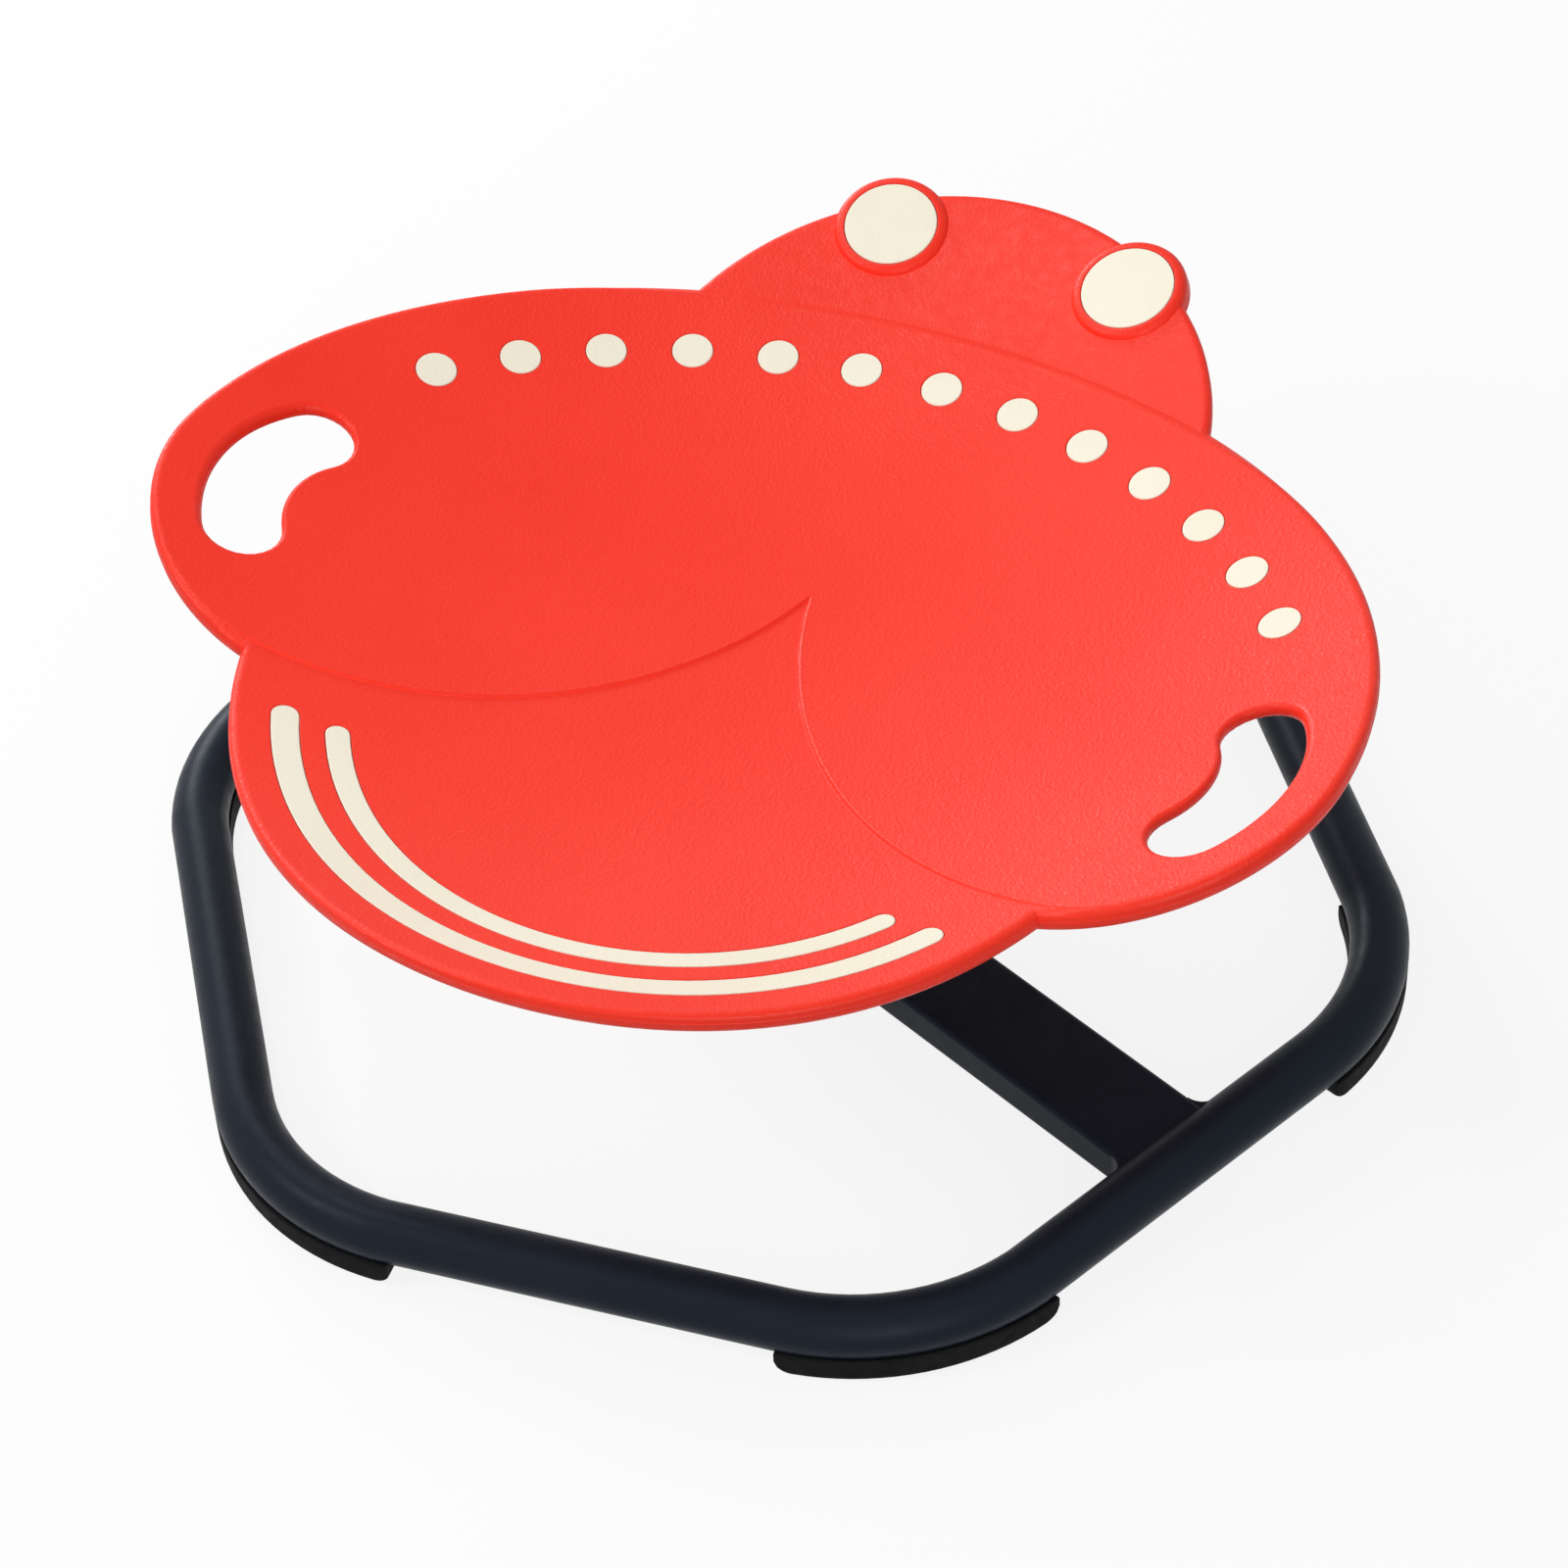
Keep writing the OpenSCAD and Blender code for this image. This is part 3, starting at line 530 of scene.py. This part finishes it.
# Cream inlays, let into the seat
def inlay(name, outline):
    piece = flat_face(name, outline, INLAY_PROUD - INLAY_DEPTH)
    raise_face(INLAY_DEPTH - INLAY_SOFT)
    round_over(INLAY_SOFT)
    outward()
    close_piece()
    return piece


def cream_dots():
    dots = [inlay("dot", disc_outline(x, y, DOT_R - INLAY_GAP)) for x, y in dot_places()]
    piece = join_all(dots, "cream_dots")
    slice_up(piece)
    follow_dish(piece)
    return piece


def cream_stripe(name):
    piece = inlay(name + "_stripe", stripe_outline(name, -INLAY_GAP))
    slice_up(piece)
    follow_dish(piece)
    return piece


def eye_disc(name, side):
    piece = inlay(name, round_line(EYE_R - INLAY_GAP, KNOB_SIDES))
    piece.data.transform(on_dish(side * KNOB_X, KNOB_Y) @ Matrix.Translation((0, 0, KNOB_LIFT * MM)))
    return piece


# Bent tube: a round section, turned through each bend and drawn along each side
def ring_point(angle, reach, z=0.0):
    a = math.radians(angle)
    return Vector((reach * math.cos(a), reach * math.sin(a), z)) * MM


def bent_tube():
    none_picked()
    start = ring_point(BASE_TURN + CORNER / 2, BEND_MID, TUBE_Z) + ring_point(BASE_TURN, BEND_R)
    bpy.ops.mesh.primitive_circle_add(vertices=TUBE_SIDES, radius=TUBE_R * MM, location=start,
                                      rotation=(math.pi / 2, 0, math.radians(BASE_TURN)))
    tube = bpy.context.object
    tube.name = "bent_tube"
    bpy.ops.object.transform_apply(location=True, rotation=True, scale=True)
    open_piece(tube)
    bpy.ops.mesh.select_all(action="SELECT")
    for k in range(CORNERS):
        turn = BASE_TURN + CORNER * k
        carry_round(BEND_STEPS, CORNER, ring_point(turn + CORNER / 2, BEND_MID))
        run = ring_point(turn + CORNER + 90, STRAIGHT)
        bpy.ops.mesh.extrude_region_move(TRANSFORM_OT_translate={"value": run})
    bpy.ops.mesh.select_all(action="SELECT")
    bpy.ops.mesh.remove_doubles(threshold=TUBE_NEAR * MM)
    outward()
    close_piece()
    return tube


# Rubber pad: its section, turned under the bend, with the lower corners of its ends rounded
def pad_section():
    outer = []
    for i in range(PAD_EDGE_STEPS + 1):
        a = math.radians(90 * i / PAD_EDGE_STEPS - 90)
        outer.append((PAD_HALF - PAD_EDGE + PAD_EDGE * math.cos(a), PAD_EDGE + PAD_EDGE * math.sin(a)))
    outer += [(PAD_HALF - inward, PAD_TOP - below) for inward, below in PAD_LIP]
    clear, drop = TUBE_R + PAD_GAP, TUBE_Z - PAD_TOP
    outer.append((math.sqrt(clear ** 2 - drop ** 2) + PAD_LIP_IN, PAD_TOP))
    swing = math.degrees(math.acos(drop / clear))
    shares = [1 - 2 * i / PAD_HOLLOW_STEPS for i in range(PAD_HOLLOW_STEPS + 1)]
    arc = [math.radians(swing * share - 90) for share in shares]
    hollow = [(clear * math.cos(a), TUBE_Z + clear * math.sin(a)) for a in arc]
    return outer + hollow + [(-u, z) for u, z in reversed(outer)]


def first_pad():
    middle = BASE_TURN + CORNER / 2
    centre = ring_point(middle, BEND_MID)
    start = middle - PAD_ANGLE / 2
    places = [centre + ring_point(start, BEND_R + u, z) for u, z in pad_section()]
    pad = drawn_circle("rubber_pad_1", places, "NOTHING")
    end = math.degrees(PAD_END / BEND_R)
    runs = ((end, PAD_END_STEPS), (PAD_ANGLE - 2 * end, PAD_RUN_STEPS), (end, PAD_END_STEPS))
    for swing, steps in runs:
        carry_round(steps, swing, centre)
    bpy.ops.mesh.select_all(action="SELECT")
    bpy.ops.mesh.fill_holes(sides=0)
    mesh = bmesh.from_edit_mesh(pad.data)
    for corner in mesh.verts:
        arm = corner.co - centre
        angle = (math.degrees(math.atan2(arm.y, arm.x)) - start + 180) % 360 - 180
        near = BEND_R * math.radians(min(angle, PAD_ANGLE - angle))
        if near < PAD_END:
            lift = PAD_END - math.sqrt(max(0.0, PAD_END ** 2 - (PAD_END - near) ** 2))
            corner.co.z += lift * (1 - corner.co.z / MM / PAD_TOP) * MM
    bmesh.update_edit_mesh(pad.data)
    outward()
    close_piece()
    recess = ((0, CUT_SPARE + PAD_SCREW_TOP),)
    for swing in (-PAD_SCREW_ANGLE, PAD_SCREW_ANGLE):
        head = (centre + ring_point(middle + swing, BEND_R)) / MM
        line = [(head.x + x, head.y + y) for x, y in round_line(PAD_SCREW_R, PAD_SCREW_SIDES)]
        carve(pad, stepped_cutter("screw_recess", line, -CUT_SPARE, recess, 1))
    return pad


def rubber_pads():
    first = first_pad()
    copies = [turned_copy(first, "rubber_pad_%d" % (k + 1), CORNER * k) for k in range(1, CORNERS)]
    return [first] + copies


# Flat bar across the ring, with soft edges and the hole under the post
def flat_bar():
    section = []
    for i, (w, z) in enumerate(((1, -1), (1, 1), (-1, 1), (-1, -1))):
        middle = (w * (BAR_HALF - BAR_CORNER), TUBE_Z + z * ((BAR_HIGH - BAR_LOW) / 2 - BAR_CORNER))
        for angle in (0,) + EDGE_ANGLES:
            a = math.radians(90 * (i - 1) + angle)
            section.append((middle[0] + BAR_CORNER * math.cos(a), middle[1] + BAR_CORNER * math.sin(a)))
    start = ring_point(BASE_TURN, -BAR_REACH)
    bar = drawn_circle("flat_bar", [start + ring_point(BASE_TURN + 90, w, z) for w, z in section])
    run = ring_point(BASE_TURN, 2 * BAR_REACH)
    bpy.ops.mesh.extrude_region_move(TRANSFORM_OT_translate={"value": run})
    outward()
    close_piece()
    line = round_line(BAR_HOLE_R, BAR_HOLE_SIDES)
    hole = ((0, BAR_HIGH - BAR_LOW + 2 * CUT_SPARE),)
    carve(bar, stepped_cutter("post_hole", line, BAR_LOW - CUT_SPARE, hole, 1))
    return bar


# Weld fillets in the corners between the bar and the tube
def weld_fillet(along, across):
    rise = BAR_HIGH - WELD_DROP - TUBE_Z
    inner, face = BAR_HALF - WELD_LEG / 2, RING_APOTHEM - math.sqrt(TUBE_R ** 2 - rise ** 2)
    arc = [math.radians(90 * i / WELD_STEPS) for i in range(WELD_STEPS + 1)]
    hollow = [(face - WELD_LEG * (1 - math.sin(a)), BAR_HALF + WELD_LEG * (1 - math.cos(a))) for a in arc]
    places = [(face - WELD_LEG, inner), (BAR_REACH, inner), (BAR_REACH, BAR_HALF + WELD_LEG)]
    places = [(along * u, across * w) for u, w in places + hollow[::-1]]
    turn = math.radians(BASE_TURN)
    outline = [(u * math.cos(turn) - w * math.sin(turn), u * math.sin(turn) + w * math.cos(turn))
               for u, w in (places if along * across > 0 else places[::-1])]
    return rounded_plate("fillet", outline, BAR_LOW + WELD_DROP, BAR_HIGH - WELD_DROP, WELD_SOFT)


def bar_weld_fillets():
    corners = [(along, across) for along in (-1, 1) for across in (-1, 1)]
    return join_all([weld_fillet(along, across) for along, across in corners], "bar_weld_fillets")


# Finishes: every one has its colour, gloss and grain from patterns fixed to the piece
PATTERN_SPAN, METAL_SPAN = (0.3, 0.7), (0.25, 0.75)
PEBBLE_SOFT = 0.6
PLASTIC_SHINE, COAT_SHINE, RUBBER_SHINE = 0.28, 0.09, 0.08
COAT_SHEEN = (0.62, 0.8, 1.0, 1.0)


def finish_start(name, roughness):
    finish = bpy.data.materials.new(name)
    finish.use_nodes = True
    tree = finish.node_tree
    shader = tree.nodes["Principled BSDF"]
    shader.inputs["Roughness"].default_value = roughness
    place = tree.nodes.new("ShaderNodeTexCoord")
    return finish, tree, shader, place.outputs["Object"]


def noise(tree, place, scale, detail=2.0):
    pattern = tree.nodes.new("ShaderNodeTexNoise")
    pattern.inputs["Scale"].default_value = scale
    pattern.inputs["Detail"].default_value = detail
    tree.links.new(place, pattern.inputs["Vector"])
    return pattern.outputs["Fac"]


def pebbles(tree, place, scale):
    pattern = tree.nodes.new("ShaderNodeTexVoronoi")
    pattern.feature = "SMOOTH_F1"
    pattern.inputs["Scale"].default_value = scale
    pattern.inputs["Smoothness"].default_value = PEBBLE_SOFT
    tree.links.new(place, pattern.inputs["Vector"])
    return pattern.outputs["Distance"]


def colour(tree, shader, pattern, dark, light, span=PATTERN_SPAN):
    ramp = tree.nodes.new("ShaderNodeValToRGB")
    for mark, at, shade in zip(ramp.color_ramp.elements, span, (dark, light)):
        mark.position = at
        mark.color = (*shade, 1.0)
    tree.links.new(pattern, ramp.inputs["Fac"])
    tree.links.new(ramp.outputs["Color"], shader.inputs["Base Color"])


def gloss(tree, shader, pattern, low, high):
    spread = tree.nodes.new("ShaderNodeMapRange")
    spread.inputs["From Min"].default_value, spread.inputs["From Max"].default_value = PATTERN_SPAN
    spread.inputs["To Min"].default_value = low
    spread.inputs["To Max"].default_value = high
    tree.links.new(pattern, spread.inputs["Value"])
    tree.links.new(spread.outputs["Result"], shader.inputs["Roughness"])


# Bump of a depth in millimetres, on top of another where one is given
def bump(tree, shader, pattern, strength, depth, under=None):
    grain = tree.nodes.new("ShaderNodeBump")
    grain.inputs["Strength"].default_value = strength
    grain.inputs["Distance"].default_value = depth * MM
    tree.links.new(pattern, grain.inputs["Height"])
    if under is not None:
        tree.links.new(under, grain.inputs["Normal"])
    tree.links.new(grain.outputs["Normal"], shader.inputs["Normal"])
    return grain.outputs["Normal"]


def moulded_plastic(name, dark, light, roughness, grain, depth):
    finish, tree, shader, place = finish_start(name, roughness)
    shader.inputs["Specular IOR Level"].default_value = PLASTIC_SHINE
    colour(tree, shader, noise(tree, place, scale=9.0, detail=3.0), dark, light)
    gloss(tree, shader, noise(tree, place, scale=160.0), low=roughness - 0.05, high=roughness + 0.07)
    wide = bump(tree, shader, noise(tree, place, scale=260.0), strength=0.25, depth=depth)
    bump(tree, shader, pebbles(tree, place, scale=grain), strength=0.65, depth=depth, under=wide)
    return finish


def powder_coat(name, dark, light, roughness):
    finish, tree, shader, place = finish_start(name, roughness)
    shader.inputs["Specular IOR Level"].default_value = COAT_SHINE
    shader.inputs["Specular Tint"].default_value = COAT_SHEEN
    colour(tree, shader, noise(tree, place, scale=14.0), dark, light)
    gloss(tree, shader, noise(tree, place, scale=120.0), low=roughness - 0.05, high=roughness + 0.06)
    bump(tree, shader, noise(tree, place, scale=650.0), strength=0.5, depth=0.14)
    return finish


def rubber(name, dark, light, roughness):
    finish, tree, shader, place = finish_start(name, roughness)
    shader.inputs["Specular IOR Level"].default_value = RUBBER_SHINE
    colour(tree, shader, noise(tree, place, scale=40.0, detail=4.0), dark, light)
    gloss(tree, shader, noise(tree, place, scale=200.0), low=roughness - 0.08, high=roughness + 0.08)
    bump(tree, shader, noise(tree, place, scale=1100.0, detail=3.0), strength=0.4, depth=0.15)
    return finish


def bare_metal(name, dark, light, roughness, scale):
    finish, tree, shader, place = finish_start(name, roughness)
    shader.inputs["Metallic"].default_value = 1.0
    colour(tree, shader, noise(tree, place, scale, detail=4.0), dark, light, METAL_SPAN)
    gloss(tree, shader, noise(tree, place, scale * 3), low=roughness - 0.08, high=roughness + 0.1)
    bump(tree, shader, noise(tree, place, scale * 8, detail=3.0), strength=0.15, depth=0.05)
    return finish


FINISHES = {
    "seat_red": moulded_plastic("red_moulded_plastic", (0.90, 0.026, 0.008), (0.94, 0.033, 0.012),
                                roughness=0.42, grain=620.0, depth=0.22),
    "inlay_cream": moulded_plastic("cream_inlay_plastic", (0.86, 0.82, 0.66), (0.90, 0.87, 0.72),
                                   roughness=0.45, grain=500.0, depth=0.12),
    "frame_black": powder_coat("navy_black_powder_coat", (0.0100, 0.0136, 0.0208),
                               (0.0125, 0.0167, 0.0252), roughness=0.38),
    "rubber_black": rubber("black_rubber", (0.0038, 0.0038, 0.0045), (0.0066, 0.0066, 0.0076),
                           roughness=0.7),
    "zinc_steel": bare_metal("zinc_plated_steel", (0.50, 0.51, 0.53), (0.66, 0.66, 0.66),
                             roughness=0.34, scale=60.0),
    "bearing_steel": bare_metal("ground_bearing_steel", (0.62, 0.62, 0.63), (0.74, 0.74, 0.74),
                                roughness=0.18, scale=120.0),
    "brass": bare_metal("cast_brass", (0.60, 0.40, 0.13), (0.72, 0.51, 0.20),
                        roughness=0.3, scale=80.0),
}


def dress(piece, slot):
    piece.data.materials.clear()
    piece.data.materials.append(FINISHES[slot])


def add_piece(piece, crease, body, slot, *stands_for):
    soften(piece, crease)
    dress(piece, slot)
    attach(piece, body)
    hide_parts(*stands_for)


# Pieces of the seat
add_piece(whole_seat(), SEAT_CREASE, "seat", "seat_red", "seat_shell")
add_piece(cream_dots(), INLAY_CREASE, "seat", "inlay_cream", "dot_inlays")
for name in STRIPES:
    add_piece(cream_stripe(name), INLAY_CREASE, "seat", "inlay_cream", name + "_stripe_inlay")
for name, side in (("left_eye", -1), ("right_eye", 1)):
    add_piece(eye_disc(name + "_disc", side), INLAY_CREASE, "seat", "inlay_cream", name + "_inlay")

# Pieces of the base
add_piece(bent_tube(), BASE_CREASE, "base", "frame_black", "base_ring")
for k, pad in enumerate(rubber_pads()):
    add_piece(pad, BASE_CREASE, "base", "rubber_black", "foot_pad_%d" % (k + 1))
add_piece(flat_bar(), BASE_CREASE, "base", "frame_black", "cross_bar")
add_piece(bar_weld_fillets(), BASE_CREASE, "base", "frame_black", "bar_welds")

# Finishes of the pieces that come over from the frame
for subpart in frame["record"]["subparts"]:
    if not nodes[subpart["node"]].hide_render:
        dress(nodes[subpart["node"]], subpart["material_slot"])


# Camera at the photograph's angle
FOCAL_PX, FRAME_PX, SENSOR_MM = 4094.0, 1600.0, 36.0
CAM_LOOK, CAM_DISTANCE = Vector((-30.5, 64.7, 6.5)) * MM, 2.008
CAM_EL, CAM_AZ, CAM_ROLL = (math.radians(a) for a in (42.78, 30.42, 3.32))


def photo_camera():
    reach = math.cos(CAM_EL)
    back = Vector((math.sin(CAM_AZ) * reach, -math.cos(CAM_AZ) * reach, math.sin(CAM_EL)))
    level = Vector((0, 0, 1)).cross(back).normalized()
    down = level.cross(back)
    right = math.cos(CAM_ROLL) * level + math.sin(CAM_ROLL) * down
    up = math.sin(CAM_ROLL) * level - math.cos(CAM_ROLL) * down
    lens = bpy.data.cameras.new("photo_camera")
    lens.sensor_width = SENSOR_MM
    lens.lens = FOCAL_PX / FRAME_PX * SENSOR_MM
    camera = bpy.data.objects.new("photo_camera", lens)
    bpy.context.scene.collection.objects.link(camera)
    placed = Matrix((right, up, back)).transposed().to_4x4()
    placed.translation = CAM_LOOK + back * CAM_DISTANCE
    camera.matrix_world = placed
    bpy.context.scene.camera = camera


# Floor and light: the floor is pale to the eye and keeps the shadow, and throws little light back
FLOOR_PALE, FLOOR_BOUNCE, FLOOR_GLOW, SKY_LIGHT = 0.86, 0.32, 0.86, 0.38
FLOOR_SIZE, FLOOR_DROP = 14.0, 0.0002


def matt_paint(tree, grey):
    paint = tree.nodes.new("ShaderNodeBsdfDiffuse")
    paint.inputs["Color"].default_value = (grey, grey, grey, 1.0)
    return paint.outputs[0]


def blend(tree, share, first, second):
    mix = tree.nodes.new("ShaderNodeMixShader")
    if isinstance(share, float):
        mix.inputs["Fac"].default_value = share
    else:
        tree.links.new(share, mix.inputs["Fac"])
    tree.links.new(first, mix.inputs[1])
    tree.links.new(second, mix.inputs[2])
    return mix.outputs[0]


# What the camera sees, straight or in a shiny surface
def in_view(tree):
    ray = tree.nodes.new("ShaderNodeLightPath")
    seen = ray.outputs["Is Camera Ray"]
    for other in ("Is Glossy Ray", "Is Transmission Ray"):
        either = tree.nodes.new("ShaderNodeMath")
        either.operation = "MAXIMUM"
        tree.links.new(seen, either.inputs[0])
        tree.links.new(ray.outputs[other], either.inputs[1])
        seen = either.outputs[0]
    return seen


def floor_paint():
    finish = bpy.data.materials.new("floor_white")
    finish.use_nodes = True
    tree = finish.node_tree
    tree.nodes.clear()
    glow = tree.nodes.new("ShaderNodeEmission")
    shown = blend(tree, FLOOR_GLOW, matt_paint(tree, FLOOR_PALE), glow.outputs[0])
    out = tree.nodes.new("ShaderNodeOutputMaterial")
    surface = blend(tree, in_view(tree), matt_paint(tree, FLOOR_BOUNCE), shown)
    tree.links.new(surface, out.inputs["Surface"])
    return finish


def studio_floor():
    none_picked()
    bpy.ops.mesh.primitive_plane_add(size=FLOOR_SIZE, location=(0, 0, -FLOOR_DROP))
    floor = bpy.context.object
    floor.name = "studio_floor"
    floor.data.materials.append(floor_paint())


def studio_light():
    world = bpy.data.worlds.new("studio_light")
    world.use_nodes = True
    bpy.context.scene.world = world
    tree = world.node_tree
    sky, shown = tree.nodes["Background"], tree.nodes.new("ShaderNodeBackground")
    for light in (sky, shown):
        light.inputs["Color"].default_value = (1.0, 1.0, 1.0, 1.0)
    sky.inputs["Strength"].default_value = SKY_LIGHT
    surface = blend(tree, in_view(tree), sky.outputs[0], shown.outputs[0])
    tree.links.new(surface, tree.nodes["World Output"].inputs["Surface"])


# Soft lamps: place and size in metres, power in watts
LAMP_AIM = Vector((0.0, 0.0, 0.15))
LAMPS = {
    "front_lamp": ((1.4, -1.8, 1.0), 1.6, 19),
    "left_lamp": ((-1.35, -1.3, 1.7), 0.6, 18),
    "left_rear_lamp": ((-1.85, 1.2, 0.95), 0.9, 23),
    "top_lamp": ((-0.95, 0.3, 2.4), 0.75, 13),
}


def soft_lamp(name, place, size, power):
    lamp = bpy.data.lights.new(name, "AREA")
    lamp.shape = "DISK"
    lamp.size = size
    lamp.energy = power
    holder = bpy.data.objects.new(name, lamp)
    bpy.context.scene.collection.objects.link(holder)
    holder.location = place
    holder.rotation_mode = "QUATERNION"
    holder.rotation_quaternion = (LAMP_AIM - Vector(place)).to_track_quat("-Z", "Y")


photo_camera()
studio_floor()
studio_light()
for name, (place, size, power) in LAMPS.items():
    soft_lamp(name, place, size, power)
bpy.context.scene.view_settings.view_transform = "Standard"
